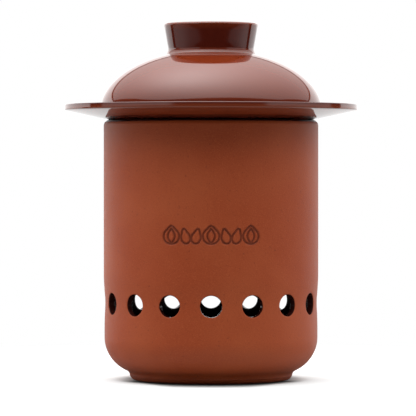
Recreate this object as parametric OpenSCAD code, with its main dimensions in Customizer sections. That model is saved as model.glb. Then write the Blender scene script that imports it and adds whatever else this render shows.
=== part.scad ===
// Garlic keeper: an earthenware jar with a ring of air vents, and a loose lid
// with a dome, a wide upturned brim and a flared knob.
// Millimetres. The origin is the centre of the foot on the table, +Z is up,
// and one vent faces -Y.

/* [Jar] */
// Outer diameter of the straight body
body_d = 104.1; // [98:0.1:112]
// Height of the rim above the table
jar_h = 126; // [90:0.5:150]
// Thickness of the body's wall
wall = 4; // [3.8:0.1:5]
// Radius of the rim's outer edge
rim_outer_round = 3; // [1.5:0.1:3.1]
// Radius of the rim's inner edge
rim_inner_round = 0.6; // [0.3:0.1:0.7]

/* [Belly and foot] */
// How far the belly under the vents lies inside the body
belly_inset = 0.35; // [0:0.05:1]
// Radius of the curve that runs from the belly down to the foot
belly_round = 17.5; // [14:0.5:22]
// Thickness of the floor
floor_t = 4.25; // [3.5:0.05:7]
// Outer diameter of the foot ring
foot_d = 78.8; // [70:0.1:84]
// Width of the foot ring
foot_w = 6; // [4.5:0.1:10]
// Radius of the foot ring's two lower edges
foot_edge = 1.5; // [0.5:0.1:1.6]
// Radius of the hollow curve between the foot ring and the belly
foot_fillet = 3; // [2:0.1:3.2]
// Depth of the hollow inside the foot ring
foot_recess = 2.5; // [2:0.1:4]

/* [Vents] */
// Number of vents in the ring
vent_count = 16; // [8:1:20]
// Diameter of a vent
vent_d = 10.3; // [6:0.1:12]
// Height of the vents' centres above the table
vent_z = 37.4; // [36:0.1:46]
// How far the waist at the vents lies inside the body
waist_inset = 0.6; // [0:0.05:1.2]
// How far the waist reaches above and below the vents' centres
waist_reach = 13.5; // [10:0.5:15]

/* [Lid brim] */
// How far the brim stands out past the jar's body
brim_overhang = 19; // [10:0.05:24]
// Thickness of the brim
brim_t = 2.8; // [2.2:0.1:4]
// Radius of the brim's upper and lower edges
brim_edge = 0.8; // [0.4:0.1:1]
// Upward slope of the brim, in degrees
brim_slope = 12.2; // [5:0.1:18]
// Width of the flat seat outside the jar's mouth
seat_w = 1.95; // [1.4:0.05:3]

/* [Lid ring] */
// Gap between the locating ring and the jar's mouth
ring_clearance = 1; // [0.4:0.1:2]
// Thickness of the locating ring
ring_t = 3.5; // [2.8:0.1:4]
// Depth of the locating ring below the jar's rim
ring_depth = 9; // [5:0.5:14]
// Radius of the locating ring's two lower edges
ring_edge = 1.2; // [0.5:0.1:1.3]

/* [Lid dome] */
// How far the dome stands out past the jar's body
dome_overhang = 1.85; // [0:0.05:3]
// Height of the dome's curve, up to where it would meet the axis
dome_rise = 30.5; // [24:0.5:38]
// Thickness of the dome at its foot
dome_foot_t = 7.4; // [5:0.1:8]
// Thickness of the dome at the top
dome_t = 4.5; // [4:0.1:7]
// Height up the dome at which its fillet to the brim ends
dome_fillet_rise = 3; // [2:0.1:5]

/* [Knob] */
// Diameter of the knob's neck, where its side would meet the dome
neck_d = 40.9; // [34:0.1:46]
// Slope of the knob's side, in degrees
knob_flare = 10; // [4:0.1:12]
// Height of the knob above the dome's curve
knob_h = 12.4; // [9:0.1:18]
// Radius of the knob's upper edge
knob_edge = 1; // [0.6:0.1:2]
// How far the fillet at the neck reaches out over the dome
knob_fillet_reach = 2.6; // [1:0.1:4]
// Depth of the shallow dish in the knob's top
dish_depth = 1.2; // [0.5:0.1:2]
// Width of the flat ring around the dish
dish_land = 3; // [2:0.1:6]
// Thickness of the knob around its hollow core
knob_t = 5.5; // [4.5:0.1:8]
// Radius of the hollow core's upper corner
core_round = 4; // [2:0.1:6]
// How far the rounded edge at the core's mouth reaches out under the dome
core_mouth_reach = 2.5; // [1.5:0.1:4]

/* [Hidden] */
$fn = 144;
clay = [0.60, 0.33, 0.22];
glaze = [0.38, 0.13, 0.08];
// Straight pieces in each arc of an outline
arc_steps = 10;
// Straight pieces in each of the dome's curves, and in each smooth step
dome_steps = 28;
step_steps = 7;
// How far a cutting tool runs past the surface that it cuts
overcut = 2;

// Jar
body_r = body_d / 2;
mouth_r = body_r - wall;
belly_r = body_r - belly_inset;
waist_r = body_r - waist_inset;
// The belly's outer and inner curves share one centre
belly_c = belly_r - belly_round;
floor_round = mouth_r - belly_c;
belly_z = foot_recess + floor_t + floor_round;
foot_r = foot_d / 2;
recess_round = foot_recess - foot_edge;
foot_fillet_c = foot_r + foot_fillet;
foot_fillet_z = belly_z - sqrt(pow(belly_round + foot_fillet, 2) - pow(foot_fillet_c - belly_c, 2));
foot_fillet_end = atan2(belly_z - foot_fillet_z, belly_c - foot_fillet_c);

// Lid
brim_r = body_r + brim_overhang;
seat_r = mouth_r + seat_w;
ring_r = mouth_r - ring_clearance;
brim_up = [-sin(brim_slope), cos(brim_slope)];
brim_edge_r = brim_r - brim_edge;
brim_edge_rise = brim_edge / cos(brim_slope);
dome_r = body_r + dome_overhang;
dome_z = brim_top(dome_r);
dome_in_r = dome_r - dome_foot_t;
dome_in_rise = dome_rise - dome_t;
dome_leave = asin(dome_fillet_rise / dome_rise);

// Knob
knob_top = dome_z + dome_rise + knob_h;
neck_r = neck_d / 2;
neck_z = dome_z + dome_rise * sin(acos(neck_r / dome_r));
knob_out = [cos(knob_flare), -sin(knob_flare)];
knob_leave = acos((neck_r + knob_fillet_reach) / dome_r);
knob_r = neck_r + (knob_top - neck_z) * tan(knob_flare);
knob_edge_c = knob_r - knob_edge * (1 + sin(knob_flare)) / cos(knob_flare);
core_r = neck_r - knob_t;
core_top = knob_top - dish_depth - knob_t;
core_leave = acos((core_r + core_mouth_reach) / dome_in_r);

// Heights of the brim's lower and upper sides at radius r
function brim_under(r) = jar_h + (r - seat_r) * tan(brim_slope);
function brim_top(r) = brim_under(r) + brim_t / cos(brim_slope);

// Points of an arc about c, from angle a to angle b
function arc(c, r, a, b, steps = arc_steps) =
    [for (i = [0:steps]) let (t = a + (b - a) * i / steps) c + r * [cos(t), sin(t)]];

// The point at angle t of the dome's ellipse, rx wide and rz high, and the
// points from angle a to angle b
function dome_point(rx, rz, t) = [rx * cos(t), dome_z + rz * sin(t)];
function dome_arc(rx, rz, a, b) =
    [for (i = [0:dome_steps]) dome_point(rx, rz, a + (b - a) * i / dome_steps)];

// Outward unit normal of that ellipse at angle t
function dome_normal(rx, rz, t) = [cos(t) / rx, sin(t) / rz] / norm([cos(t) / rx, sin(t) / rz]);

// The arc that leaves a curve at p, where its unit normal is n, and runs on
// into the straight line through q, whose unit normal is m
function blend_arc(p, n, q, m) =
    let (r = (p - q) * m / (1 - n * m), a = atan2(-n.y, -n.x), b = atan2(-m.y, -m.x))
    arc(p + r * n, r, a, a + (b - a + 900) % 360 - 180);

// A smooth step from radius r0 at height z0 to radius r1 at height z1
function ease(r0, z0, r1, z1) =
    [for (i = [0:step_steps])
        let (t = i / step_steps) [r0 + (r1 - r0) * (1 - cos(180 * t)) / 2, z0 + (z1 - z0) * t]];

// The same points in the opposite order
function reversed(points) = [for (i = [len(points) - 1:-1:0]) points[i]];

// The jar's outer side, from the axis under the floor up to the rim
jar_outside = concat(
    [[0, foot_recess]],
    arc([foot_r - foot_w - recess_round, foot_recess - recess_round], recess_round, 90, 0),
    arc([foot_r - foot_w + foot_edge, foot_edge], foot_edge, 180, 270),
    arc([foot_r - foot_edge, foot_edge], foot_edge, 270, 360),
    arc([foot_fillet_c, foot_fillet_z], foot_fillet, 180, foot_fillet_end),
    arc([belly_c, belly_z], belly_round, foot_fillet_end - 180, 0, 2 * arc_steps),
    ease(belly_r, vent_z - waist_reach, waist_r, vent_z),
    ease(waist_r, vent_z, body_r, vent_z + waist_reach),
    arc([body_r - rim_outer_round, jar_h - rim_outer_round], rim_outer_round, 0, 90));

// The jar's inner side, from the rim down to the axis on the floor
jar_inside = concat(
    arc([mouth_r + rim_inner_round, jar_h - rim_inner_round], rim_inner_round, 90, 180),
    arc([belly_c, belly_z], floor_round, 0, -90, 2 * arc_steps),
    [[0, belly_z - floor_round]]);

// The lid's inner side, from the axis in the knob's core down to the ring
lid_inside = concat(
    [[0, core_top]],
    arc([core_r - core_round, core_top - core_round], core_round, 90, 0),
    reversed(blend_arc(dome_point(dome_in_r, dome_in_rise, core_leave),
        dome_normal(dome_in_r, dome_in_rise, core_leave), [core_r, 0], [1, 0])),
    dome_arc(dome_in_r, dome_in_rise, core_leave, 0),
    ease(dome_in_r, dome_z, ring_r - ring_t, jar_h - ring_edge));

// The lid's ring, seat and brim, from inside to outside
lid_underside = concat(
    arc([ring_r - ring_t + ring_edge, jar_h - ring_depth + ring_edge], ring_edge, 180, 270),
    arc([ring_r - ring_edge, jar_h - ring_depth + ring_edge], ring_edge, 270, 360),
    [[ring_r, jar_h], [seat_r, jar_h]],
    arc([brim_edge_r, brim_under(brim_edge_r) + brim_edge_rise], brim_edge, brim_slope - 90, 0),
    arc([brim_edge_r, brim_top(brim_edge_r) - brim_edge_rise], brim_edge, 0, brim_slope + 90));

// The lid's upper side, from the brim to the axis on the knob
lid_outside = concat(
    reversed(blend_arc(dome_point(dome_r, dome_rise, dome_leave),
        dome_normal(dome_r, dome_rise, dome_leave), [dome_r, dome_z], brim_up)),
    dome_arc(dome_r, dome_rise, dome_leave, knob_leave),
    blend_arc(dome_point(dome_r, dome_rise, knob_leave),
        dome_normal(dome_r, dome_rise, knob_leave), [neck_r, neck_z], knob_out),
    arc([knob_edge_c, knob_top - knob_edge], knob_edge, -knob_flare, 90),
    ease(knob_edge_c - dish_land, knob_top, 0, knob_top - dish_depth));

module vents() {
    for (i = [0:vent_count - 1])
        rotate([0, 0, i * 360 / vent_count])
            translate([0, overcut - mouth_r, vent_z])
                rotate([90, 0, 0])
                    cylinder(d = vent_d, h = wall + 2 * overcut, $fn = 48);
}

module jar() {
    color(clay)
        difference() {
            rotate_extrude() polygon(concat(jar_outside, jar_inside));
            vents();
        }
}

module lid() {
    color(glaze)
        rotate_extrude() polygon(concat(lid_inside, lid_underside, lid_outside));
}

jar();
lid();
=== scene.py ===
"""A garlic keeper: a vented earthenware jar and its loose glazed lid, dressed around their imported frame."""

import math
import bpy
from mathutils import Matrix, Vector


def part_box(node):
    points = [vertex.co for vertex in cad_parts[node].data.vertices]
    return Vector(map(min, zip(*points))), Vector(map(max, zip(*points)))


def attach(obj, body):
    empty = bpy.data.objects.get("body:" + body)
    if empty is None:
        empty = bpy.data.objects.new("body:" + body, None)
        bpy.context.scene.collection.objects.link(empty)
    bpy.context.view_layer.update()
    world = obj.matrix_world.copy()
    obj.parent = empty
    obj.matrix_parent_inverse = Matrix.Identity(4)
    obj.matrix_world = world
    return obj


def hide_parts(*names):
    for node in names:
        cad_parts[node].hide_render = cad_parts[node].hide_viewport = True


bl_info = {
    "name": "Garlic Keeper",
    "version": (1, 0, 0),
    "blender": (4, 5, 0),
    "location": "View3D > Sidebar > Garlic Keeper",
    "description": "Makes an earthenware garlic keeper with its glazed lid, and a plain studio around it",
    "category": "Add Mesh",
}

import bmesh
import bpy
import numpy as np
from bpy.props import FloatProperty, FloatVectorProperty, IntProperty, PointerProperty

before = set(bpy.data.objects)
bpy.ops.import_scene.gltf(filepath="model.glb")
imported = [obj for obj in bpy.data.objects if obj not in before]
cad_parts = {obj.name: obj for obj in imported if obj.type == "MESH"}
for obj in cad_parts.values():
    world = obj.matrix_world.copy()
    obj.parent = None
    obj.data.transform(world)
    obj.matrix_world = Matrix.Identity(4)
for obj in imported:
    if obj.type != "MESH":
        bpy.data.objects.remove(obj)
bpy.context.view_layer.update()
JAR_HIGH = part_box("jar")[1]
LID_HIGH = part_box("lid")[1]

MM = 0.001
CLOSE = 1e-6  # points nearer than this are one point

# Longest stretches between two points of an outline
JAR_STEP = 4 * MM
BODY_STEP = 1.7 * MM
BELLY_STEP = 1.5 * MM
LID_STEP = 3 * MM

# Rings of faces on a vent's outer edge and on the wall in front of it, and on each part behind them
FRONT_RINGS = 6
BACK_RINGS = 5


# ---------------------------------------------------------------- sizes and colours


def length(name, description, default, low=0.0):
    """A length in metres that a user may change."""
    return FloatProperty(
        name=name, description=description, default=default, min=low, unit="LENGTH", precision=5
    )


def number(name, description, default):
    """A plain number, zero or more, that a user may change."""
    return FloatProperty(name=name, description=description, default=default, min=0)


def angle(name, description, degrees):
    """An angle that a user may change."""
    return FloatProperty(
        name=name, description=description, default=math.radians(degrees), subtype="ANGLE"
    )


def colour(name, description, default):
    """A linear colour that a user may change."""
    return FloatVectorProperty(
        name=name, description=description, default=default, subtype="COLOR", min=0, max=1
    )


class JarSizes(bpy.types.PropertyGroup):
    """Sizes of the jar."""

    radius: length("Body radius", "Outer radius of the straight body", JAR_HIGH.x)
    height: length("Height", "Height of the rim above the table", JAR_HIGH.z)
    wall: length("Wall", "Thickness of the body's wall", 4 * MM)
    rim_outer: length("Rim's outer round", "Radius of the rim's outer edge", 3 * MM)
    rim_inner: length("Rim's inner round", "Radius of the rim's inner edge", 0.6 * MM)
    belly_inset: length("Belly inset", "How far the belly lies inside the body", 0.35 * MM)
    belly_round: length("Belly round", "Radius of the curve down to the foot", 17.5 * MM)
    floor: length("Floor", "Thickness of the floor", 4.25 * MM)
    foot_radius: length("Foot radius", "Outer radius of the foot ring", 39.4 * MM)
    foot_width: length("Foot width", "Width of the foot ring", 6 * MM)
    foot_edge: length("Foot edge", "Radius of the foot ring's lower inner edge", 1.5 * MM)
    foot_round: length("Foot round", "Radius of the foot ring's lower outer edge", 2.6 * MM)
    foot_fillet: length("Foot fillet", "Radius of the hollow over the foot ring", 3 * MM)
    foot_recess: length("Foot recess", "Depth of the hollow inside the foot ring", 2.5 * MM)
    waist_inset: length("Waist inset", "How far the waist lies inside the body", 0.6 * MM)
    waist_reach: length("Waist reach", "How far the waist reaches up and down", 13.5 * MM)
    vents: IntProperty(name="Vents", description="Number of vents in the ring", default=16, min=4)
    vent_radius: length("Vent radius", "Radius of a vent's bore", 5.15 * MM)
    vent_height: length("Vent height", "Height of the vents' centres", 37.4 * MM)
    vent_edge: length("Vent edge", "Radius of a vent's softened edges", 0.55 * MM)
    vent_band: length("Vent band", "Half the height of the band that holds the vents", 9 * MM)
    vent_columns: IntProperty(
        name="Columns per vent", description="Faces round the wall for each vent", default=12, min=4
    )
    vent_line: length("Vents' glaze line", "Depth in the wall where the lining starts in a vent", 0.2 * MM)
    wall_line: length("Wall's glaze line", "The same between the vents and the rim", 0.9 * MM)
    # On the rim the lining runs down the outer round to just under the lid: glaze over the rim, and painted
    # shade in the crevice under the lid.
    rim_lining_and_shade: length("Rim's glaze line", "The same at the rim", 0.6 * MM)


class StampSizes(bpy.types.PropertyGroup):
    """Sizes of the row of bulbs and cloves that is pressed into the jar."""

    height: length("Stamp height", "Height of the row's middle above the table", 70.4 * MM)
    bulb: length("Bulb size", "Half the width of a bulb", 3.9 * MM)
    clove: length("Clove size", "Half the width of a clove", 2.2 * MM)
    pitch: length("Pitch", "Distance between two bulbs", 19.2 * MM)
    stroke: length("Stroke", "Half the width of a pressed line", 0.48 * MM)
    softness: length("Softness", "Half the width of a pressed line's side", 0.22 * MM)
    depth: length("Depth", "Depth of a pressed line", 0.6 * MM)


class LidSizes(bpy.types.PropertyGroup):
    """Sizes of the lid."""

    brim_radius: length("Brim radius", "Outer radius of the brim", LID_HIGH.x)
    brim: length("Brim", "Thickness of the brim", 2.8 * MM)
    brim_edge: length("Brim edge", "Radius of the brim's lower edge", 0.8 * MM)
    brim_crest: length("Brim crest", "Radius of the brim's upper edge", 0.5 * MM)
    brim_slope: angle("Brim slope", "Upward slope of the brim", 12.2)
    seat: length("Seat", "Width of the flat seat outside the jar's mouth", 1.95 * MM)
    clearance: length("Clearance", "Gap between the locating ring and the jar", 1 * MM)
    ring: length("Ring", "Thickness of the locating ring", 3.5 * MM)
    ring_depth: length("Ring depth", "Depth of the locating ring", 9 * MM)
    ring_edge: length("Ring edge", "Radius of the locating ring's lower edges", 1.2 * MM)
    corner: length("Corner", "Radius of the seat's small corners", 0.35 * MM)
    dome_overhang: length("Dome overhang", "How far the dome stands out past the body", 1.85 * MM)
    dome_rise: length("Dome rise", "Height of the dome's curve", 30.5 * MM)
    dome_foot: length("Dome foot", "Thickness of the dome at its foot", 7.4 * MM)
    dome: length("Dome", "Thickness of the dome at the top", 4.5 * MM)
    dome_fillet: length("Dome fillet", "Height up the dome of its fillet to the brim", 3 * MM)
    neck: length("Neck radius", "Radius of the knob's neck", 20.45 * MM)
    flare: angle("Knob flare", "Slope of the knob's side", 10)
    knob_edge: length("Knob edge", "Radius of the knob's upper edge", 1 * MM)
    knob_fillet: length("Knob fillet", "Reach of the neck's fillet over the dome", 2.6 * MM)
    dish: length("Dish", "Depth of the dish in the knob's top", 1.2 * MM)
    dish_land: length("Dish land", "Width of the flat ring round the dish", 3 * MM)
    knob_wall: length("Knob wall", "Thickness of the knob round its core", 5.5 * MM)
    core_round: length("Core round", "Radius of the core's upper corner", 4 * MM)
    core_mouth: length("Core mouth", "Reach of the core's rounded mouth", 2.5 * MM)
    # Painted shade: the knob's side is darkened this far down from its top.
    knob_shade_reach: length("Knob's thick glaze", "How far down the knob the glaze is thick", 13.5 * MM)
    # Darker in the gutter this far up the dome: pooled glaze, with painted shade in the crease.
    gutter_thick_and_shaded: length("Gutter's thick glaze", "How far up the dome the glaze is thick", 6 * MM)
    # Painted shade on the lid's underside this far out past the seat, where it meets the jar.
    seat_shade_reach: length("Seat's thick glaze", "How far past the seat the glaze is thick", 8 * MM)
    bare_ring: length("Bare ring", "How far up the locating ring's end is bare of glaze", 0.4 * MM)
    segments: IntProperty(name="Segments", description="Faces round the lid", default=256, min=16)


class Finishes(bpy.types.PropertyGroup):
    """Colours, patterns and gloss of the clay and the glazes."""

    clay: colour("Clay", "The fired clay", (0.345, 0.053, 0.0105))
    clay_pale: colour("Pale clay", "Pale grains and dusty places", (0.415, 0.084, 0.024))
    # Also the painted shade in the pressed lines.
    clay_dark: colour("Dark clay", "Dark grains and pressed lines", (0.13, 0.02, 0.006))
    glaze: colour("Glaze", "The lid's glaze", (0.15, 0.021, 0.006))
    # Painted shade on the knob and by the seat, and pooled glaze with painted shade in the gutter.
    glaze_thick_and_shaded: colour("Thick glaze", "The glaze where it runs thick", (0.085, 0.011, 0.0055))
    glaze_thin: colour("Thin glaze", "The glaze where it runs thin", (0.19, 0.036, 0.012))
    lining: colour("Lining", "The dark glaze inside the jar", (0.035, 0.008, 0.006))
    clouds: length("Clouds", "Size of the clay's broad clouds", 45 * MM)
    patches: length("Patches", "Size of the clay's patches", 9 * MM)
    specks: length("Specks", "Size of the clay's dark specks", 1.4 * MM)
    grain: length("Grain", "Size of the clay's fine grains", 0.55 * MM)
    clay_bumps: length("Clay bumps", "Height of the clay's bumps", 0.16 * MM)
    clay_ior: number("Clay IOR", "How strongly the clay's surface mirrors", 1.36)
    clay_rough: number("Clay roughness", "Roughness of the clay's dullest grains", 0.6)
    lining_rough: number("Lining roughness", "Roughness of the jar's lining", 0.14)
    glaze_clouds: length("Glaze clouds", "Size of the glaze's broad clouds", 30 * MM)
    glaze_mottle: length("Glaze mottle", "Size of the glaze's fine mottling", 2.2 * MM)
    glaze_ripples: length("Glaze ripples", "Size of the glaze's faint ripples", 7 * MM)
    glaze_bumps: length("Glaze bumps", "Height of the glaze's ripples", 0.05 * MM)
    glaze_ior: number("Glaze IOR", "How strongly the glaze mirrors", 1.68)
    glaze_rough: number("Glaze roughness", "Roughness of the glaze's dullest places", 0.08)
    bare_rough: number("Bare roughness", "Roughness of the bare clay under the lid's ring", 0.8)


# ---------------------------------------------------------------- outlines, as lists of (radius, height)


def arc(centre, radius, start, end, steps=10):
    """Points of an arc about centre, from angle start to angle end in degrees."""
    turn = np.radians(np.linspace(start, end, steps + 1))
    return np.array(centre) + radius * np.column_stack((np.cos(turn), np.sin(turn)))


def smooth_step(low, high, steps=12):
    """Points from low to high whose radius eases in and out as the height runs on."""
    part = np.linspace(0, 1, steps + 1)
    eased = (1 - np.cos(np.pi * part)) / 2
    return np.column_stack(
        (low[0] + (high[0] - low[0]) * eased, low[1] + (high[1] - low[1]) * part)
    )


def blend_arc(point, normal, on_line, line_normal, steps=10):
    """The arc that leaves a curve at point and runs on into a straight line."""
    point, normal = np.array(point), np.array(normal)
    line_normal = np.array(line_normal)
    radius = (point - on_line) @ line_normal / (1 - normal @ line_normal)
    start, end = (math.degrees(math.atan2(-n[1], -n[0])) for n in (normal, line_normal))
    sweep = (end - start + 180) % 360 - 180
    return arc(point + radius * normal, radius, start, start + sweep, steps)


def filled(points, longest):
    """The outline with more points along its long straight stretches."""
    out = [points[0]]
    for a, b in zip(points[:-1], points[1:]):
        gap = np.linalg.norm(b - a)
        if gap < CLOSE:
            continue
        steps = max(1, math.ceil(gap / longest))
        out += [a + (b - a) * (i + 1) / steps for i in range(steps)]
    return np.array(out)


class JarOutline:
    """The jar's outline, worked out from its sizes."""

    def __init__(self, s):
        self.s = s
        self.mouth = s.radius - s.wall
        self.belly = s.radius - s.belly_inset
        self.waist = s.radius - s.waist_inset
        self.curve_r = self.belly - s.belly_round
        self.floor_round = self.mouth - self.curve_r
        self.floor_z = s.foot_recess + s.floor
        self.curve_z = self.floor_z + self.floor_round
        self.band = (s.vent_height - s.vent_band, s.vent_height + s.vent_band)

    def outer_radius(self, z):
        """Radius of the outer side at height z, anywhere over the belly's curve and under the rim."""
        s = self.s
        part = np.clip((z - s.vent_height) / s.waist_reach, -1, 1)
        start = np.where(part < 0, self.belly, s.radius)
        return self.waist + (start - self.waist) * (1 - np.cos(np.pi * part)) / 2

    def depth(self, radius, z):
        """How deep a point lies under the outer side, over the foot ring."""
        down = np.minimum(z - self.curve_z, 0)
        around = np.hypot(np.maximum(radius - self.curve_r, 0), down)
        return np.where(z > self.curve_z, self.outer_radius(z) - radius, self.s.belly_round - around)

    def outside(self, low, high, longest):
        """The outer side from height low to height high."""
        z = np.linspace(low, high, max(2, math.ceil((high - low) / longest) + 1))
        return np.column_stack((self.outer_radius(z), z))

    def underside(self):
        """From the vents' band down over the belly and the foot to the axis."""
        s = self.s
        fillet_r = s.foot_radius + s.foot_fillet
        reach = s.belly_round + s.foot_fillet
        fillet_z = self.curve_z - math.sqrt(reach**2 - (fillet_r - self.curve_r) ** 2)
        meet = math.degrees(math.atan2(self.curve_z - fillet_z, self.curve_r - fillet_r))
        recess = s.foot_recess - s.foot_edge
        inner = s.foot_radius - s.foot_width
        points = np.concatenate(
            (
                self.outside(self.curve_z, self.band[0], BELLY_STEP)[::-1],
                arc((self.curve_r, self.curve_z), s.belly_round, 0, meet - 180, steps=28),
                arc((fillet_r, fillet_z), s.foot_fillet, meet, 180, steps=12),
                arc((s.foot_radius - s.foot_round, s.foot_round), s.foot_round, 0, -90),
                arc((inner + s.foot_edge, s.foot_edge), s.foot_edge, 270, 180, steps=8),
                arc((inner - recess, s.foot_recess - recess), recess, 0, 90, steps=8),
                [(0, s.foot_recess)],
            )
        )
        return filled(points, JAR_STEP)

    def inside(self):
        """From the axis on the floor up the inner wall to the vents' band."""
        points = np.concatenate(
            (
                [(0, self.floor_z)],
                arc((self.curve_r, self.curve_z), self.floor_round, -90, 0, steps=24),
                [(self.mouth, self.band[0])],
            )
        )
        return filled(points, JAR_STEP)

    def collar(self):
        """From the vents' band up the outer side, over the rim and down the inner side."""
        s = self.s
        points = np.concatenate(
            (
                self.outside(self.band[1], s.height - s.rim_outer, BODY_STEP),
                arc((s.radius - s.rim_outer, s.height - s.rim_outer), s.rim_outer, 0, 90, steps=12),
                arc((self.mouth + s.rim_inner, s.height - s.rim_inner), s.rim_inner, 90, 180, steps=6),
                [(self.mouth, self.band[1])],
            )
        )
        return filled(points, JAR_STEP)


class LidOutline:
    """The lid's outline, worked out from its sizes and the jar's."""

    def __init__(self, s, jar, top):
        self.s, self.jar, self.top = s, jar, top
        self.mouth = jar.radius - jar.wall
        self.seat = self.mouth + s.seat
        self.ring = self.mouth - s.clearance
        self.dome_r = jar.radius + s.dome_overhang
        self.dome_z = self.brim_top(self.dome_r)
        self.inner_r = self.dome_r - s.dome_foot
        self.inner_rise = s.dome_rise - s.dome

    def brim_under(self, radius):
        """Height of the brim's lower side at a radius."""
        return self.jar.height + (radius - self.seat) * math.tan(self.s.brim_slope)

    def brim_top(self, radius):
        """Height of the brim's upper side at a radius."""
        return self.brim_under(radius) + self.s.brim / math.cos(self.s.brim_slope)

    def dome_point(self, width, rise, turn):
        """The point at angle turn of one of the dome's curves."""
        return np.array((width * math.cos(turn), self.dome_z + rise * math.sin(turn)))

    def dome_normal(self, width, rise, turn):
        """The outward unit normal there."""
        normal = np.array((math.cos(turn) / width, math.sin(turn) / rise))
        return normal / np.linalg.norm(normal)

    def dome_curve(self, width, rise, start, end, steps=48):
        """Points of one of the dome's curves."""
        return np.array([self.dome_point(width, rise, t) for t in np.linspace(start, end, steps + 1)])

    def hollow(self):
        """From the axis in the knob's core down the inside to the locating ring."""
        s = self.s
        core = s.neck - s.knob_wall
        core_top = self.top - s.dish - s.knob_wall
        leave = math.acos((core + s.core_mouth) / self.inner_r)
        core_mouth = blend_arc(
            self.dome_point(self.inner_r, self.inner_rise, leave),
            self.dome_normal(self.inner_r, self.inner_rise, leave),
            (core, 0),
            (1, 0),
        )
        return np.concatenate(
            (
                [(0, core_top)],
                arc((core - s.core_round, core_top - s.core_round), s.core_round, 90, 0),
                core_mouth[::-1],
                self.dome_curve(self.inner_r, self.inner_rise, leave, 0),
                smooth_step(
                    (self.inner_r, self.dome_z), (self.ring - s.ring, self.jar.height - s.ring_edge)
                ),
            )
        )

    def underside(self):
        """The locating ring, the seat and the brim's lower side and edge."""
        s = self.s
        base = self.jar.height - s.ring_depth
        slope = math.degrees(s.brim_slope)
        edge_r = s.brim_radius - s.brim_edge
        edge_rise = s.brim_edge / math.cos(s.brim_slope)
        crest_r = s.brim_radius - s.brim_crest
        crest_rise = s.brim_crest / math.cos(s.brim_slope)
        step = s.corner * math.tan(s.brim_slope / 2)
        return np.concatenate(
            (
                arc((self.ring - s.ring + s.ring_edge, base + s.ring_edge), s.ring_edge, 180, 270, steps=8),
                arc((self.ring - s.ring_edge, base + s.ring_edge), s.ring_edge, 270, 360, steps=8),
                arc((self.ring + s.corner, self.jar.height - s.corner), s.corner, 180, 90, steps=5),
                arc((self.seat - step, self.jar.height + s.corner), s.corner, 270, 270 + slope, steps=2),
                arc((edge_r, self.brim_under(edge_r) + edge_rise), s.brim_edge, slope - 90, 0),
                arc((crest_r, self.brim_top(crest_r) - crest_rise), s.brim_crest, 0, slope + 90),
            )
        )

    def upper_side(self):
        """From the brim over the dome and the knob to the axis."""
        s = self.s
        leave = math.asin(s.dome_fillet / s.dome_rise)
        gutter = blend_arc(
            self.dome_point(self.dome_r, s.dome_rise, leave),
            self.dome_normal(self.dome_r, s.dome_rise, leave),
            (self.dome_r, self.dome_z),
            (-math.sin(s.brim_slope), math.cos(s.brim_slope)),
        )
        neck_turn = math.acos((s.neck + s.knob_fillet) / self.dome_r)
        neck_z = self.dome_z + s.dome_rise * math.sin(math.acos(s.neck / self.dome_r))
        neck = blend_arc(
            self.dome_point(self.dome_r, s.dome_rise, neck_turn),
            self.dome_normal(self.dome_r, s.dome_rise, neck_turn),
            (s.neck, neck_z),
            (math.cos(s.flare), -math.sin(s.flare)),
        )
        knob = s.neck + (self.top - neck_z) * math.tan(s.flare)
        edge = knob - s.knob_edge * (1 + math.sin(s.flare)) / math.cos(s.flare)
        return np.concatenate(
            (
                gutter[::-1],
                self.dome_curve(self.dome_r, s.dome_rise, leave, neck_turn),
                neck,
                arc((edge, self.top - s.knob_edge), s.knob_edge, -math.degrees(s.flare), 90, steps=8),
                smooth_step((edge - s.dish_land, self.top), (0, self.top - s.dish)),
            )
        )

    def whole(self):
        """The closed outline, from the axis in the core round to the axis on the knob."""
        return filled(np.concatenate((self.hollow(), self.underside(), self.upper_side())), LID_STEP)


# ---------------------------------------------------------------- meshes and trees


def new_piece(name, points, edges=(), faces=()):
    """A mesh object with these points, in the scene."""
    mesh = bpy.data.meshes.new(name)
    mesh.from_pydata([tuple(p) for p in points], edges, faces)
    piece = bpy.data.objects.new(name, mesh)
    bpy.context.scene.collection.objects.link(piece)
    return piece


def put(tree, kind, values=None, **settings):
    """Adds a node. Each value is a number, a colour or another node's socket."""
    node = tree.nodes.new(kind)
    for key, value in settings.items():
        setattr(node, key, value)
    for key, value in (values or {}).items():
        if isinstance(value, bpy.types.NodeSocket):
            tree.links.new(value, node.inputs[key])
        else:
            node.inputs[key].default_value = value
    return node


def maths(tree, operation, a, b=0.0):
    """The result of a math node with one or two values."""
    return put(tree, "ShaderNodeMath", {0: a, 1: b}, operation=operation).outputs[0]


def product(tree, *values):
    """All the values multiplied."""
    total = values[0]
    for value in values[1:]:
        total = maths(tree, "MULTIPLY", total, value)
    return total


def chosen(tree, part, low, high):
    """A number between low and high."""
    return put(tree, "ShaderNodeMix", {0: part, 2: low, 3: high}, data_type="FLOAT").outputs[0]


def new_tree(name, inputs):
    """A geometry tree with a geometry input and output and these named inputs."""
    tree = bpy.data.node_groups.new(name, "GeometryNodeTree")
    tree.is_modifier = True
    tree.interface.new_socket("Geometry", in_out="INPUT", socket_type="NodeSocketGeometry")
    for label, kind in inputs:
        tree.interface.new_socket(label, in_out="INPUT", socket_type=kind)
    tree.interface.new_socket("Geometry", in_out="OUTPUT", socket_type="NodeSocketGeometry")
    return tree


def close_tree(tree, geometry, material):
    """Ends a tree: points that meet are joined, copies are made real and the finish is set."""
    merged = put(tree, "GeometryNodeMergeByDistance", {"Geometry": geometry, "Distance": CLOSE})
    real = put(tree, "GeometryNodeRealizeInstances", {"Geometry": merged.outputs[0]})
    finished = put(
        tree, "GeometryNodeSetMaterial", {"Geometry": real.outputs[0], "Material": material}
    )
    put(tree, "NodeGroupOutput", {"Geometry": finished.outputs[0]})


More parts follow.
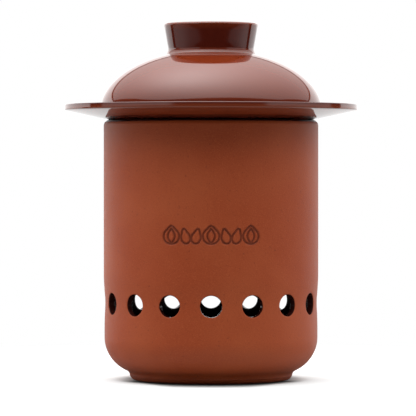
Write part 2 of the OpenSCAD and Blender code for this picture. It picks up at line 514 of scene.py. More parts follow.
def turned_tree():
    """Turns an outline about the Z axis into a surface."""
    tree = new_tree(
        "Turned outline", (("Segments", "NodeSocketInt"), ("Material", "NodeSocketMaterial"))
    )
    given = put(tree, "NodeGroupInput").outputs
    count = put(tree, "GeometryNodeAttributeDomainSize", {"Geometry": given["Geometry"]})
    rows = count.outputs["Point Count"]
    columns = maths(tree, "ADD", given["Segments"], 1.0)
    grid = put(tree, "GeometryNodeMeshGrid", {"Vertices X": columns, "Vertices Y": rows})
    index = put(tree, "GeometryNodeInputIndex").outputs[0]
    row = maths(tree, "MODULO", index, rows)
    column = maths(tree, "FLOOR", maths(tree, "DIVIDE", index, rows))
    turn = product(tree, maths(tree, "DIVIDE", column, given["Segments"]), 2 * math.pi)
    place = put(
        tree,
        "GeometryNodeSampleIndex",
        {"Geometry": given["Geometry"], "Index": row},
        data_type="FLOAT_VECTOR",
    )
    tree.links.new(put(tree, "GeometryNodeInputPosition").outputs[0], place.inputs["Value"])
    spun = put(
        tree,
        "ShaderNodeVectorRotate",
        {"Vector": place.outputs[0], "Angle": turn},
        rotation_type="Z_AXIS",
    )
    surface = put(
        tree,
        "GeometryNodeSetPosition",
        {"Geometry": grid.outputs["Mesh"], "Position": spun.outputs[0]},
    )
    close_tree(tree, surface.outputs[0], given["Material"])
    return tree


def ring_tree():
    """Repeats a sector in a ring about the Z axis."""
    tree = new_tree(
        "Ring of sectors", (("Copies", "NodeSocketInt"), ("Material", "NodeSocketMaterial"))
    )
    given = put(tree, "NodeGroupInput").outputs
    points = put(tree, "GeometryNodePoints", {"Count": given["Copies"]})
    index = put(tree, "GeometryNodeInputIndex").outputs[0]
    turn = product(tree, maths(tree, "DIVIDE", index, given["Copies"]), 2 * math.pi)
    rotation = put(tree, "ShaderNodeCombineXYZ", {"Z": turn})
    placed = put(
        tree,
        "GeometryNodeInstanceOnPoints",
        {
            "Points": points.outputs[0],
            "Instance": given["Geometry"],
            "Rotation": rotation.outputs[0],
        },
    )
    real = put(tree, "GeometryNodeRealizeInstances", {"Geometry": placed.outputs[0]})
    close_tree(tree, real.outputs[0], given["Material"])
    return tree


def grown(piece, tree, **values):
    """The plain mesh that a geometry tree makes of a piece. The piece itself is removed."""
    modifier = piece.modifiers.new(tree.name, "NODES")
    modifier.node_group = tree
    sockets = {item.name: item.identifier for item in tree.interface.items_tree}
    for name, value in values.items():
        modifier[sockets[name.capitalize()]] = value
    depsgraph = bpy.context.evaluated_depsgraph_get()
    mesh = bpy.data.meshes.new_from_object(piece.evaluated_get(depsgraph))
    piece.modifiers.remove(modifier)
    bpy.data.objects.remove(piece)
    return mesh


def turned(outline, tree, segments, material):
    """The mesh of an outline of (radius, height) points, turned about the Z axis."""
    edges = [(i, i + 1) for i in range(len(outline) - 1)]
    piece = new_piece("outline", [(r, 0, z) for r, z in outline], edges)
    return grown(piece, tree, segments=segments, material=material)


def joined(name, meshes, material):
    """One closed piece made of meshes whose borders meet, with its faces pointing outwards."""
    bm = bmesh.new()
    for mesh in meshes:
        bm.from_mesh(mesh)
        bpy.data.meshes.remove(mesh)
    bmesh.ops.remove_doubles(bm, verts=bm.verts, dist=CLOSE)
    bmesh.ops.dissolve_degenerate(bm, edges=bm.edges, dist=CLOSE)
    bmesh.ops.recalc_face_normals(bm, faces=bm.faces)
    open_edges = sum(not edge.is_manifold for edge in bm.edges)
    if open_edges:
        raise RuntimeError(f"{name} isn't closed: {open_edges} edges are open")
    piece = new_piece(name, ())
    bm.to_mesh(piece.data)
    bm.free()
    piece.data.materials.clear()
    piece.data.materials.append(material)
    piece.data.shade_smooth()
    return piece


def store(piece, name, values):
    """Keeps one number for each point of a piece, for its finish to read."""
    layer = piece.data.attributes.new(name, "FLOAT", "POINT")
    layer.data.foreach_set("value", np.asarray(values, np.float32))


def points_of(piece):
    """A piece's points, as an array."""
    co = np.empty(len(piece.data.vertices) * 3)
    piece.data.vertices.foreach_get("co", co)
    return co.reshape(-1, 3)


def move_points(piece, points):
    """Puts a piece's points where an array says."""
    piece.data.vertices.foreach_set("co", points.ravel())
    piece.data.update()


def ramp(values, low, high):
    """0 under low, 1 over high, and a smooth rise between them."""
    part = np.clip((values - low) / (high - low), 0, 1)
    return part * part * (3 - 2 * part)


# ---------------------------------------------------------------- the jar


def vent_sector(outline):
    """(points, faces) of one vent at -Y with its share of the wall, from the outer side to the inner."""
    s = outline.s
    half = math.pi / s.vents
    crowding = 0.8  # under 1, the rings on the wall lie closer together near the vent
    along = np.linspace(-1, 1, s.vent_columns + 1)[:-1]
    ends = np.ones(s.vent_columns)
    border = np.concatenate(
        (
            np.column_stack((along, -ends)),
            np.column_stack((ends, along)),
            np.column_stack((-along, ends)),
            np.column_stack((-ends, -along)),
        )
    )
    height = border[:, 1] * s.vent_band

    def front(flat, radius):
        """Y on the front of a wall of this radius, at these (sideways, up) places."""
        return -np.sqrt(radius**2 - flat[:, 0] ** 2)

    def outer(flat):
        """The same on the jar's outer side."""
        return front(flat, outline.outer_radius(s.vent_height + flat[:, 1]))

    def inner(flat):
        """The same on its inner side."""
        return front(flat, outline.mouth)

    def edge_of(radius):
        """The border on a wall of this radius, and the directions to it from the vent's centre."""
        sideways = radius * np.sin(border[:, 0] * half)
        turn = np.arctan2(height, sideways)
        return np.column_stack((sideways, height)), np.column_stack((np.cos(turn), np.sin(turn)))

    outer_border, outer_way = edge_of(outline.outer_radius(s.vent_height + height))
    inner_border, inner_way = edge_of(outline.mouth)
    wide = s.vent_radius + s.vent_edge
    rings = []
    for part in np.linspace(0, 1, FRONT_RINGS + 1) ** crowding:
        flat = outer_border + (outer_way * wide - outer_border) * part
        rings.append((flat, outer(flat)))
    for turn in np.linspace(0, math.pi / 2, FRONT_RINGS + 1)[1:]:
        flat = outer_way * (s.vent_radius + s.vent_edge * (1 - math.sin(turn)))
        rings.append((flat, outer(flat) + s.vent_edge * (1 - math.cos(turn))))
    bore_out = outer_way * s.vent_radius
    bore_in = inner_way * s.vent_radius
    start = outer(bore_out) + s.vent_edge
    end = inner(bore_in) - s.vent_edge
    for part in np.linspace(0, 1, BACK_RINGS + 1)[1:-1]:
        rings.append((bore_out + (bore_in - bore_out) * part, start + (end - start) * part))
    for turn in np.linspace(0, math.pi / 2, BACK_RINGS + 1):
        flat = inner_way * (s.vent_radius + s.vent_edge * (1 - math.cos(turn)))
        rings.append((flat, inner(flat) - s.vent_edge * (1 - math.sin(turn))))
    for part in (np.linspace(0, 1, BACK_RINGS + 1) ** (1 / crowding))[1:]:
        flat = inner_way * wide + (inner_border - inner_way * wide) * part
        rings.append((flat, inner(flat)))
    points = np.concatenate(
        [np.column_stack((flat[:, 0], y, flat[:, 1] + s.vent_height)) for flat, y in rings]
    )
    count = len(border)
    faces = []
    for low in range(0, (len(rings) - 1) * count, count):
        for i, after in zip(range(count), (*range(1, count), 0)):
            faces.append((low + i, low + after, low + count + after, low + count + i))
    return points, faces


def peak_at_top(turn, width):
    """1 straight up, falling off on both sides over an angle in degrees."""
    return np.exp(-(((np.degrees(turn) - 90) / width) ** 2))


def bulb_lines(size):
    """A garlic bulb as lines round (0, 0): its outline with a pointed neck, and two ribs."""
    neck_rise, height, rib_bow, rib_top, rib_length = 0.34, 0.94, 0.46, 0.9, 1.75  # over its size
    neck_width = 20  # in degrees
    turn = np.radians(np.arange(0, 361, 10))
    reach = size * (1 + neck_rise * peak_at_top(turn, neck_width))
    ring = np.column_stack((reach * np.cos(turn), reach * height * np.sin(turn)))
    part = np.linspace(0, 1, 10)
    rib = np.column_stack((size * rib_bow * np.sin(np.pi * part), size * (rib_top - rib_length * part)))
    return [ring, rib, rib * (-1, 1)]


def clove_lines(size, lean):
    """A clove as one closed line with a pointed tip, leaning by an angle in degrees."""
    height, tip_spread, tip_rise, drop = 1.25, 0.5, 0.75, 0.35  # over its size
    tip_width = 24  # in degrees
    turn = np.radians(np.arange(0, 361, 12))
    tip = peak_at_top(turn, tip_width)
    x = size * (1 + tip_spread * tip) * np.cos(turn)
    y = size * (height + tip_rise * tip) * np.sin(turn) - size * drop
    tilt = math.radians(lean)
    return [
        np.column_stack(
            (x * math.cos(tilt) - y * math.sin(tilt), x * math.sin(tilt) + y * math.cos(tilt))
        )
    ]


def stamp_lines(stamp):
    """The row of bulbs with two cloves between them, as lines of (sideways, up) points."""
    lean = 14  # of a clove, in degrees
    apart = 0.14  # how far a clove stands from the middle between two bulbs, over their pitch
    lines = []
    for place in (-1, 0, 1):
        lines += [line + (place * stamp.pitch, 0) for line in bulb_lines(stamp.bulb)]
    for side in (-0.5, 0.5):
        for way in (1, -1):
            middle = (side + way * apart) * stamp.pitch
            lines += [line + (middle, 0) for line in clove_lines(stamp.clove, -way * lean)]
    return lines


def line_distance(places, lines):
    """Distance of each place to the nearest of these lines."""
    nearest = np.full(len(places), np.inf)
    for line in lines:
        for a, b in zip(line[:-1], line[1:]):
            way = b - a
            part = np.clip((places - a) @ way / max(way @ way, CLOSE**2), 0, 1)
            gap = places - a - part[:, None] * way
            nearest = np.minimum(nearest, np.hypot(*gap.T))
    return nearest


def press_stamp(piece, outline, stamp):
    """Presses the row of bulbs and cloves into the jar's front, with fine faces there."""
    lines = stamp_lines(stamp)
    margin = 2 * MM
    extent = np.abs(np.concatenate(lines)).max(0) + stamp.stroke + 4 * stamp.softness
    radius = outline.s.radius
    bm = bmesh.new()
    bm.from_mesh(piece.data)
    window = []
    for face in bm.faces:
        c = face.calc_center_median()
        sideways = math.atan2(c.x, -c.y) * radius
        out = math.hypot(c.x, c.y) > radius - outline.s.wall / 2
        if out and abs(sideways) < extent[0] and abs(c.z - stamp.height) < extent[1]:
            window.append(face)
    edges = list(dict.fromkeys(edge for face in window for edge in face.edges))
    bmesh.ops.subdivide_edges(bm, edges=edges, cuts=7, use_grid_fill=True)
    bm.to_mesh(piece.data)
    bm.free()
    points = points_of(piece)
    turn = np.arctan2(points[:, 0], -points[:, 1])
    flat = np.column_stack((turn * radius, points[:, 2] - stamp.height))
    far = np.hypot(points[:, 0], points[:, 1])
    near = (np.abs(flat) < extent + margin).all(1) & (far > radius - outline.s.wall / 2)
    gap = line_distance(flat[near], lines)
    pressed = np.zeros(len(points))
    pressed[near] = 1 - ramp(gap, stamp.stroke - stamp.softness, stamp.stroke + stamp.softness)
    depth = outline.outer_radius(points[near, 2]) - stamp.depth * pressed[near]
    points[near, 0] = np.sin(turn[near]) * depth
    points[near, 1] = -np.cos(turn[near]) * depth
    move_points(piece, points)
    store(piece, "pressed", pressed)


def lined_share(outline, points):
    """For each point of the jar, 1 where it is lined and 0 where the clay is bare."""
    s = outline.s
    blend = 0.15 * MM
    rim_low, rim_high = s.height - 6 * MM, s.height - 4 * MM
    z = points[:, 2]
    off_vents = ramp(np.abs(z - s.vent_height), s.vent_band - 1 * MM, s.vent_band)
    at_rim = ramp(z, rim_low, rim_high)
    # At the rim the lining starts lower on the outer round: painted shade in the crevice under the lid.
    line = s.vent_line + off_vents * (s.wall_line - s.vent_line) - at_rim * (s.wall_line - s.rim_lining_and_shade)
    depth = outline.depth(np.hypot(points[:, 0], points[:, 1]), z)
    return ramp(depth - line, -blend, blend)


class KEEPER_OT_jar(bpy.types.Operator):
    """Makes the jar with its vents, its foot and the row pressed into its front"""

    bl_idname = "keeper.add_jar"
    bl_label = "Add Jar"

    def execute(self, context):
        scene = context.scene
        outline = JarOutline(scene.keeper_jar)
        clay = clay_finish(scene.keeper_finish)
        tree = turned_tree()
        columns = outline.s.vents * outline.s.vent_columns
        parts = [
            turned(points, tree, columns, clay)
            for points in (outline.underside(), outline.inside(), outline.collar())
        ]
        points, faces = vent_sector(outline)
        sector = new_piece("vent sector", points, (), faces)
        parts.append(grown(sector, ring_tree(), copies=outline.s.vents, material=clay))
        jar = joined("jar_body", parts, clay)
        press_stamp(jar, outline, scene.keeper_stamp)
        store(jar, "lined", lined_share(outline, points_of(jar)))
        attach(jar, "jar")
        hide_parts("jar")
        return {"FINISHED"}


# ---------------------------------------------------------------- the lid


def glaze_shares(outline, points):
    """For each point of the lid, how far the glaze there is thin, darkened or missing, from 0 to 1: darkened
    is painted shade on the knob and by the seat, and pooled glaze with painted shade in the gutter.
    """
    s = outline.s
    # Widths over which one glaze, or its painted shade, gives way to another
    edge_blend, knob_blend, gutter_blend, bare_blend = 0.7 * MM, 1.5 * MM, 3 * MM, 0.5 * MM
    # Where the painted shade by the seat is full.
    seat_full = outline.seat + 2 * MM
    radius = np.hypot(points[:, 0], points[:, 1])
    z = points[:, 2]
    on_top = ramp(z - outline.brim_under(radius), s.brim_edge, s.brim_edge + edge_blend)
    knob_edge = ramp(z, outline.top - 2 * s.knob_edge, outline.top)
    on_knob_edge = knob_edge * ramp(radius, 0.85 * s.neck, s.neck)
    on_brim_edge = (1 - on_top) * ramp(radius, s.brim_radius - s.brim_edge, s.brim_radius)
    # Painted shade down the knob's side, up to its top edge.
    knob_foot = outline.top - s.knob_shade_reach
    on_knob = ramp(z, knob_foot, knob_foot + knob_blend) * (1 - knob_edge)
    # Darker in the gutter: pooled glaze, with painted shade in the crease.
    gutter_top = outline.dome_z + s.gutter_thick_and_shaded
    in_gutter = ramp(z, gutter_top, gutter_top - gutter_blend) * on_top * (radius > s.neck)
    # Painted shade on the underside by the seat, where the lid meets the jar.
    by_seat = (1 - on_top) * ramp(radius, outline.seat + s.seat_shade_reach, seat_full)
    bare_top = outline.jar.height - s.ring_depth + s.bare_ring
    return {
        "thin": np.maximum(on_brim_edge, on_knob_edge),
        "thick_and_shaded": np.maximum.reduce((on_knob, in_gutter, by_seat)),
        "bare": 1 - ramp(z, bare_top, bare_top + bare_blend),
    }


class KEEPER_OT_lid(bpy.types.Operator):
    """Makes the lid with its brim, dome, knob and locating ring"""

    bl_idname = "keeper.add_lid"
    bl_label = "Add Lid"

    def execute(self, context):
        scene = context.scene
        outline = LidOutline(scene.keeper_lid, scene.keeper_jar, LID_HIGH.z)
        glaze = glaze_finish(scene.keeper_finish)
        surface = turned(outline.whole(), turned_tree(), scene.keeper_lid.segments, glaze)
        lid = joined("lid_glazed", [surface], glaze)
        for name, share in glaze_shares(outline, points_of(lid)).items():
            store(lid, name, share)
        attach(lid, "lid")
        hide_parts("lid")
        return {"FINISHED"}


# ---------------------------------------------------------------- finishes


def new_material(name):
    """(node tree, its Principled node, the object's coordinates) of a new material."""
    material = bpy.data.materials.new(name)
    material.use_nodes = True
    tree = material.node_tree
    where = put(tree, "ShaderNodeTexCoord").outputs["Object"]
    return material, tree, tree.nodes["Principled BSDF"], where


def noise(tree, where, cell, detail=3.0, roughness=0.55):
    """A noise whose cells are about this many metres across."""
    return put(
        tree,
        "ShaderNodeTexNoise",
        {"Vector": where, "Scale": 1 / cell, "Detail": detail, "Roughness": roughness},
    ).outputs["Fac"]


def fade(tree, value, low, high, to_low=0.0, to_high=1.0):
    """A value's range, mapped smoothly to another range."""
    return put(
        tree,
        "ShaderNodeMapRange",
        {"Value": value, "From Min": low, "From Max": high, "To Min": to_low, "To Max": to_high},
        interpolation_type="SMOOTHSTEP",
    ).outputs[0]


def mixed(tree, part, low, high):
    """A colour between low and high. A colour is a socket or three numbers."""
    node = put(tree, "ShaderNodeMix", {"Factor": part}, data_type="RGBA")
    for socket, value in ((node.inputs[6], low), (node.inputs[7], high)):
        if isinstance(value, bpy.types.NodeSocket):
            tree.links.new(value, socket)
        else:
            socket.default_value = (*value, 1)
    return node.outputs[2]


def kept(tree, name):
    """The number that a piece keeps under this name."""
    return put(tree, "ShaderNodeAttribute", attribute_name=name).outputs["Fac"]


def bump(tree, height, strength, distance):
    """The normal of a surface with bumps this many metres high."""
    values = {"Height": height, "Strength": strength, "Distance": distance}
    return put(tree, "ShaderNodeBump", values).outputs[0]


def ragged(tree, name, pattern, amount):
    """A kept number, sharpened to 0 or 1 along an edge that wanders with a pattern."""
    wander = product(tree, maths(tree, "SUBTRACT", pattern, 0.5), amount)
    return fade(tree, maths(tree, "ADD", kept(tree, name), wander), 0.4, 0.6)


def layered(tree, tint, layers):
    """A colour with layers over it. Each is a pattern, where it starts, where it is full, its
    greatest share and its colour."""
    for pattern, start, full, share, layer in layers:
        tint = mixed(tree, fade(tree, pattern, start, full, 0, share), tint, layer)
    return tint


def clay_finish(finish):
    """Fired clay with fine grains outside, painted shade in the pressed lines, and a dark glossy lining where
    the piece is lined.
    """
    material, tree, shader, where = new_material("Fired clay")
    clouds = noise(tree, where, finish.clouds, detail=2)
    patches = noise(tree, where, finish.patches, detail=3)
    grain = noise(tree, where, finish.grain, detail=2, roughness=0.7)
    specks = noise(tree, where, finish.specks, detail=1)
    tint = mixed(tree, fade(tree, clouds, 0.3, 0.75), finish.clay, finish.clay_pale)
    tint = mixed(tree, fade(tree, clouds, 0.2, 0.9, 0.75, 0.25), tint, finish.clay)
    layers = (
        (patches, 0.35, 0.75, 0.16, finish.clay_pale),
        (grain, 0.52, 0.72, 0.95, finish.clay_pale),
        (grain, 0.45, 0.28, 0.3, finish.clay_dark),
        (specks, 0.7, 0.78, 0.4, finish.clay_dark),
    )
    tint = layered(tree, tint, layers)
    # Painted shade: the pressed lines are darkened towards the dark clay.
    pressed = product(tree, kept(tree, "pressed"), 0.75)
    tint = mixed(tree, pressed, tint, finish.clay_dark)
    lined = ragged(tree, "lined", patches, 0.9)
    tree.links.new(mixed(tree, lined, tint, finish.lining), shader.inputs["Base Color"])
    dull = fade(tree, grain, 0.3, 0.7, finish.clay_rough - 0.16, finish.clay_rough)
    rough = chosen(tree, lined, dull, finish.lining_rough)
    tree.links.new(rough, shader.inputs["Roughness"])
    height = maths(tree, "ADD", product(tree, grain, 0.8), product(tree, patches, 0.8))
    height = product(tree, height, maths(tree, "SUBTRACT", 1.0, lined))
    tree.links.new(bump(tree, height, 0.7, finish.clay_bumps), shader.inputs["Normal"])
    shader.inputs["IOR"].default_value = finish.clay_ior
    return material


def glaze_finish(finish):
    """A glossy red-brown glaze, thinner on the edges, darkened by painted shade on the knob, in the gutter
    and by the seat, and bare clay where the ring stood in the kiln.
    """
    material, tree, shader, where = new_material("Red-brown glaze")
    clouds = noise(tree, where, finish.glaze_clouds, detail=3)
    mottle = noise(tree, where, finish.glaze_mottle, detail=2)
    grain = noise(tree, where, finish.grain, detail=2, roughness=0.7)
    ripples = noise(tree, where, finish.glaze_ripples, detail=1)
    layers = (
        (clouds, 0.3, 0.75, 0.22, finish.glaze_thin),
        (mottle, 0.62, 0.75, 0.15, finish.glaze_thin),
    )
    tint = layered(tree, finish.glaze, layers)
    # Painted shade on the knob and by the seat, and pooled glaze with painted shade in the gutter.
    tint = mixed(tree, kept(tree, "thick_and_shaded"), tint, finish.glaze_thick_and_shaded)
    tint = mixed(tree, product(tree, kept(tree, "thin"), 0.6), tint, finish.glaze_thin)
    bare = ragged(tree, "bare", mottle, 0.8)
    clay = mixed(tree, fade(tree, grain, 0.4, 0.7), finish.clay, finish.clay_pale)
    tree.links.new(mixed(tree, bare, tint, clay), shader.inputs["Base Color"])
    sheen = fade(tree, clouds, 0.3, 0.7, finish.glaze_rough / 2, finish.glaze_rough)
    rough = chosen(tree, bare, sheen, finish.bare_rough)
    tree.links.new(rough, shader.inputs["Roughness"])
    tree.links.new(bump(tree, ripples, 0.2, finish.glaze_bumps), shader.inputs["Normal"])
    shader.inputs["IOR"].default_value = finish.glaze_ior
    return material


# ---------------------------------------------------------------- the stage


class StageSizes(bpy.types.PropertyGroup):
    """The camera, the floor and the lamps."""

    lens: FloatProperty(
        name="Lens", description="Focal length of the camera", default=258.6, min=1, unit="CAMERA"
    )
    distance: length("Distance", "Distance from the camera to the keeper's axis", 1.451)
    eye: length("Eye height", "Height of the camera above the table", 0.1006)
    aside: length("Aside", "How far the camera stands to the left", 0.00146)
    tilt: angle("Tilt", "How far the camera looks down", 0.69)
    panel_height: length("Panel height", "Height of the ceiling panel above the table", 1.05)
    panel_width: length("Panel width", "Width of the ceiling panel", 5.4)
    panel_front: length("Panel front", "How far the ceiling panel reaches towards the camera", 1.25)
    panel_bow: length("Panel bow", "Half the width of the panel's rounded front", 1.95)
    panel_flare: number("Panel flare", "How much wider the panel is, for each metre back", 0.2)
    panel_aside: length("Panel aside", "How far the rounded front lies to the right", 0.05)
    panel_skew: number("Panel skew", "How much shorter the front is for each metre to the right", 0.12)
    panel_back: length("Panel back", "How far the ceiling panel reaches behind the keeper", 1.95)
    panel_spread: length("Panel spread", "Radius at which the panel's bright middle is half as bright", 0.55)
    panel_light: number("Panel light", "Radiance of the ceiling panel near its edges", 0.54)
    middle_light: number("Middle light", "What the panel's bright middle adds", 2.55)
    middle_aside: length("Middle aside", "How far the bright middle lies to the left", 0.2)
    fill_front: number("Front fill", "Strength of the soft fill from the camera's side", 0.02)
    fill_back: number("Back fill", "Strength of the soft fill from behind, at its sides", 1.9)
    fill_middle: number("Middle of the back fill", "Share of it that is left right behind the keeper", 0.45)
    fill_band: number("Fill band", "Strength of the soft fill halfway up, mostly from the sides", 1.08)
    side_light: number("Side light", "Radiance of the pale walls at both sides", 0.6)
    dark_light: number("Dark side's light", "Radiance of all else that is mirrored", 0.04)
    sweep_light: number("Sweep light", "Radiance of the white sweep behind the keeper", 1.5)
    sweep_top: number("Sweep's top", "Rise of the sweep's upper edge over its distance", 0.41)
    walls_turn: angle("Walls turned", "How far the pale walls are turned about the keeper", 6.5)
    floor: colour("Floor", "The pale floor", (0.775, 0.8, 0.8))
    floor_near: number("Floor near", "Share of the near floor's light that reaches the keeper", 0.85)
    floor_bounce: number("Floor bounce", "Share of the farther floor's light that does", 0.39)
    floor_mirrored: number("Floor mirrored", "Share of the near floor's light that is mirrored", 0.38)
    floor_back: number("Floor's back", "Radiance of the mirrored floor well behind the keeper", 1.1)
    floor_edge: length("Floor edge", "How far the lit floor reaches towards the camera", 0.466)


def rays_of(tree):
    """(camera or transmission ray, glossy ray), each 1 or 0."""
    rays = put(tree, "ShaderNodeLightPath").outputs
    through = maths(tree, "MAXIMUM", rays["Is Camera Ray"], rays["Is Transmission Ray"])
    return through, rays["Is Glossy Ray"]


def azimuth(tree, x, y, start=0.0):
    """How far a direction lies from the camera's side about the Z axis, the same on both sides."""
    turn = maths(tree, "ARCTAN2", x, maths(tree, "MULTIPLY", y, -1.0))
    return maths(tree, "ABSOLUTE", maths(tree, "SUBTRACT", turn, start))


def fade_turn(tree, turn, start, end, to_low=0.0, to_high=1.0):
    """A fade from one angle to another, both in degrees."""
    return fade(tree, turn, math.radians(start), math.radians(end), to_low, to_high)


def fade_rise(tree, z, start, end):
    """A fade from one height in the sky to another, both in degrees over the horizon."""
    return fade(tree, z, math.sin(math.radians(start)), math.sin(math.radians(end)))


def bounced_share(tree, stage, away):
    """The share of the floor's light that reaches the keeper: little from close under it."""
    foot, belly, body, open_floor = 0.044, 0.056, 0.058, 0.085
    at_foot = 0.18
    under = fade(tree, away, foot, belly, at_foot, stage.floor_near)
    return fade(tree, away, body, open_floor, under, stage.floor_bounce)


def mirrored_share(tree, stage, x, y, away, turn):
    """The share of the floor's light that is mirrored: less farther off, and none past its edges."""
    near, far, aside = 0.12, 0.6, 0.5
    far_left, far_right, at_edge = 0.23, 0.35, 0.35
    edge, soft = -stage.floor_edge, 0.03
    far_share = fade(tree, x, -aside, aside, far_left, far_right)
    depth = maths(tree, "SUBTRACT", y, product(tree, x, math.tan(stage.walls_turn)))
    falling = fade(tree, away, near, far, stage.floor_mirrored, far_share)
    falling = product(tree, falling, fade(tree, depth, edge, 0.0, at_edge, 1.0))
    lit = fade(tree, depth, edge - soft, edge + soft)
    return product(tree, lit, fade_turn(tree, turn, 110, 106), falling)


def contact_shade(tree, x, y, away):
    """1 on the open floor and darker close to the foot, above all along its front."""
    foot, front_reach, side_reach = 0.0385, 0.066, 0.0485
    front_shade, side_shade = 0.05, 0.8
    reach = fade(tree, maths(tree, "ABSOLUTE", x), 0.016, 0.034, front_reach, side_reach)
    shade = fade(tree, y, -0.018, -0.006, front_shade, side_shade)
    return fade(tree, away, foot, reach, shade, 1.0)


def add_floor(stage):
    """A wide pale floor that keeps the keeper's shadow and comes out white farther off."""
    half = 6.0
    shadow_end, all_white = 0.12, 0.3
    corners = [(-half, -half, 0), (half, -half, 0), (half, half, 0), (-half, half, 0)]
    floor = new_piece("floor", corners, (), [(0, 1, 2, 3)])
    material = bpy.data.materials.new("Pale floor")
    material.use_nodes = True
    tree = material.node_tree
    tree.nodes.clear()
    seen, glossy = rays_of(tree)
    where = put(tree, "ShaderNodeTexCoord").outputs["Object"]
    away = put(tree, "ShaderNodeVectorMath", {0: where}, operation="LENGTH").outputs["Value"]
    x, y, _ = put(tree, "ShaderNodeSeparateXYZ", {0: where}).outputs
    turn = azimuth(tree, x, y)
    mirrored = mirrored_share(tree, stage, x, y, away, turn)
    share = chosen(tree, glossy, bounced_share(tree, stage, away), mirrored)
    share = chosen(tree, seen, share, contact_shade(tree, x, y, away))
    diffuse = put(tree, "ShaderNodeBsdfDiffuse", {"Color": mixed(tree, share, (0, 0, 0), stage.floor)})
    behind = product(tree, glossy, fade_turn(tree, turn, 117, 119.5))
    past_shadow = product(tree, seen, fade(tree, away, shadow_end, all_white))
    strength = maths(tree, "ADD", seen, product(tree, behind, stage.floor_back))
    pale = put(tree, "ShaderNodeEmission", {"Strength": strength})
    both = put(
        tree,
        "ShaderNodeMixShader",
        {0: maths(tree, "ADD", past_shadow, behind), 1: diffuse.outputs[0], 2: pale.outputs[0]},
    )
    put(tree, "ShaderNodeOutputMaterial", {"Surface": both.outputs[0]})
    floor.data.materials.append(material)


def mirrored_room(tree, stage, x, y, z):
    """What gloss mirrors: pale walls at both sides, and a white sweep behind the keeper."""
    soft = 0.005
    turn = azimuth(tree, x, y, stage.walls_turn)
    over_sweep = maths(tree, "SUBTRACT", z, product(tree, y, stage.sweep_top))
    sweep = product(
        tree,
        fade_turn(tree, turn, 114, 117),
        fade(tree, over_sweep, soft, -soft),
        stage.sweep_light,
    )
    walls = product(
        tree,
        fade_turn(tree, turn, 34, 40),
        fade_turn(tree, turn, 103, 98),
        fade_rise(tree, z, 17.6, 17),
        stage.side_light,
    )
    return maths(tree, "ADD", maths(tree, "ADD", sweep, walls), stage.dark_light)


def soft_fill(tree, stage, x, y, z):
    """The light that shapes the keeper: from behind, and from a band halfway up at the sides."""
    band_turn, band_front, band_side = -0.15, 0.3, 1.5
    fill = chosen(tree, fade(tree, y, -0.2, 0.5), stage.fill_front, stage.fill_back)
    fill = product(tree, fill, fade_turn(tree, azimuth(tree, x, y), 120, 160, 1.0, stage.fill_middle))
    band = product(
        tree,
        fade_rise(tree, z, 18, 28),
        fade_rise(tree, z, 60, 50),
        fade_turn(tree, azimuth(tree, x, y, band_turn), 15, 75, band_front, band_side),
        stage.fill_band,
    )
    return maths(tree, "MAXIMUM", fill, band)


def add_world(stage):
    """White for what is seen, a dim room with pale walls for what is mirrored, and a soft fill."""
    world = bpy.data.worlds.new("Studio")
    world.use_nodes = True
    tree = world.node_tree
    tree.nodes.clear()
    seen, glossy = rays_of(tree)
    way = put(tree, "ShaderNodeTexCoord").outputs["Generated"]
    x, y, z = put(tree, "ShaderNodeSeparateXYZ", {0: way}).outputs
    fill = soft_fill(tree, stage, x, y, z)
    light = chosen(tree, glossy, fill, mirrored_room(tree, stage, x, y, z))
    strength = chosen(tree, seen, light, 1.0)
    back = put(tree, "ShaderNodeBackground", {"Color": (1, 1, 1, 1), "Strength": strength})
    put(tree, "ShaderNodeOutputWorld", {"Surface": back.outputs[0]})
    bpy.context.scene.world = world


def panel_radiance(tree, stage, across, along):
    """Radiance of the ceiling panel at a place across and along it: bright in its middle."""
    to_middle = maths(tree, "ADD", across, stage.middle_aside)
    out = maths(tree, "ADD", product(tree, to_middle, to_middle), product(tree, along, along))
    spread = maths(tree, "ADD", maths(tree, "DIVIDE", out, stage.panel_spread**2), 1.0)
    return maths(tree, "ADD", maths(tree, "DIVIDE", stage.middle_light, spread), stage.panel_light)


def panel_shape(tree, stage, across, along):
    """1 on the ceiling panel and 0 past its edge: rounded in front, wider towards the back."""
    skew = maths(tree, "SUBTRACT", 1.0, product(tree, across, stage.panel_skew))
    front = product(tree, skew, stage.panel_front)
    forward = maths(tree, "DIVIDE", maths(tree, "MINIMUM", along, 0.0), front)
    back = maths(tree, "MAXIMUM", along, 0.0)
    flare = maths(tree, "ADD", product(tree, back, stage.panel_flare), 1.0)
    sideways = maths(tree, "SUBTRACT", across, stage.panel_aside)
    sideways = maths(tree, "DIVIDE", sideways, product(tree, flare, stage.panel_bow))
    bow = maths(tree, "ADD", product(tree, sideways, sideways), product(tree, forward, forward))
    edge, inside = 1.0, 0.94
    return fade(tree, bow, edge, inside)


def add_panel(stage):
    """A wide ceiling panel with a bright middle, straight over the keeper."""
    depth = stage.panel_front + stage.panel_back
    width = stage.panel_width
    middle = (stage.panel_back - stage.panel_front) / 2
    lamp = bpy.data.lights.new("ceiling panel", "AREA")
    lamp.shape = "RECTANGLE"
    lamp.size, lamp.size_y = width, depth
    lamp.energy = 4 * width * depth  # the node tree's strength is then the panel's radiance
    lamp.use_nodes = True
    tree = lamp.node_tree
    share = put(tree, "ShaderNodeNewGeometry").outputs["Parametric"]
    u, v, _ = put(tree, "ShaderNodeSeparateXYZ", {0: share}).outputs
    across = product(tree, maths(tree, "SUBTRACT", u, 0.5), width)
    along = product(tree, maths(tree, "SUBTRACT", v, 0.5), depth)
    along = maths(tree, "ADD", along, middle)
    radiance = panel_radiance(tree, stage, across, along)
    radiance = product(tree, radiance, panel_shape(tree, stage, across, along))
    tree.links.new(radiance, tree.nodes["Emission"].inputs["Strength"])
    panel = bpy.data.objects.new("ceiling panel", lamp)
    panel.location = (0, middle, stage.panel_height)
    panel.visible_camera = False
    bpy.context.scene.collection.objects.link(panel)


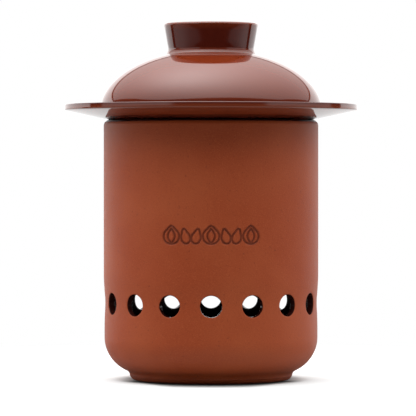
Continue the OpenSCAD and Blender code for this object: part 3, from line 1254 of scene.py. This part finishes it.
class KEEPER_OT_stage(bpy.types.Operator):
    """Makes the camera, the floor, the backdrop and the lamps"""

    bl_idname = "keeper.add_stage"
    bl_label = "Add Stage"

    def execute(self, context):
        stage = context.scene.keeper_stage
        camera = bpy.data.objects.new("camera", bpy.data.cameras.new("camera"))
        camera.data.lens = stage.lens
        camera.location = (-stage.aside, -stage.distance, stage.eye)
        camera.rotation_euler = (math.pi / 2 - stage.tilt, 0, 0)
        context.scene.collection.objects.link(camera)
        context.scene.camera = camera
        context.scene.view_settings.view_transform = "Standard"
        add_floor(stage)
        add_world(stage)
        add_panel(stage)
        return {"FINISHED"}


# ---------------------------------------------------------------- the panel and the run


class KEEPER_PT_panel(bpy.types.Panel):
    """Lists the keeper's sizes, finishes and pieces"""

    bl_idname = "KEEPER_PT_panel"
    bl_label = "Garlic Keeper"
    bl_space_type = "VIEW_3D"
    bl_region_type = "UI"
    bl_category = "Garlic Keeper"

    def draw(self, context):
        for operator in OPERATORS:
            self.layout.operator(operator.bl_idname)
        for name in GROUPS:
            box = self.layout.box()
            group = getattr(context.scene, name)
            for item in group.bl_rna.properties:
                if item.identifier not in ("rna_type", "name"):
                    box.prop(group, item.identifier)


GROUPS = {
    "keeper_jar": JarSizes,
    "keeper_stamp": StampSizes,
    "keeper_lid": LidSizes,
    "keeper_finish": Finishes,
    "keeper_stage": StageSizes,
}
OPERATORS = (KEEPER_OT_stage, KEEPER_OT_jar, KEEPER_OT_lid)


def register():
    """Registers the keeper's sizes, operators and panel."""
    for group in GROUPS.values():
        bpy.utils.register_class(group)
    for name, group in GROUPS.items():
        setattr(bpy.types.Scene, name, PointerProperty(type=group))
    for item in (*OPERATORS, KEEPER_PT_panel):
        bpy.utils.register_class(item)


def unregister():
    """Takes them away again."""
    for item in (KEEPER_PT_panel, *OPERATORS):
        bpy.utils.unregister_class(item)
    for name in GROUPS:
        delattr(bpy.types.Scene, name)
    for group in GROUPS.values():
        bpy.utils.unregister_class(group)


def main():
    """Makes the whole keeper on its stage."""
    register()
    bpy.ops.keeper.add_stage()
    bpy.ops.keeper.add_jar()
    bpy.ops.keeper.add_lid()


if __name__ == "__main__":
    main()
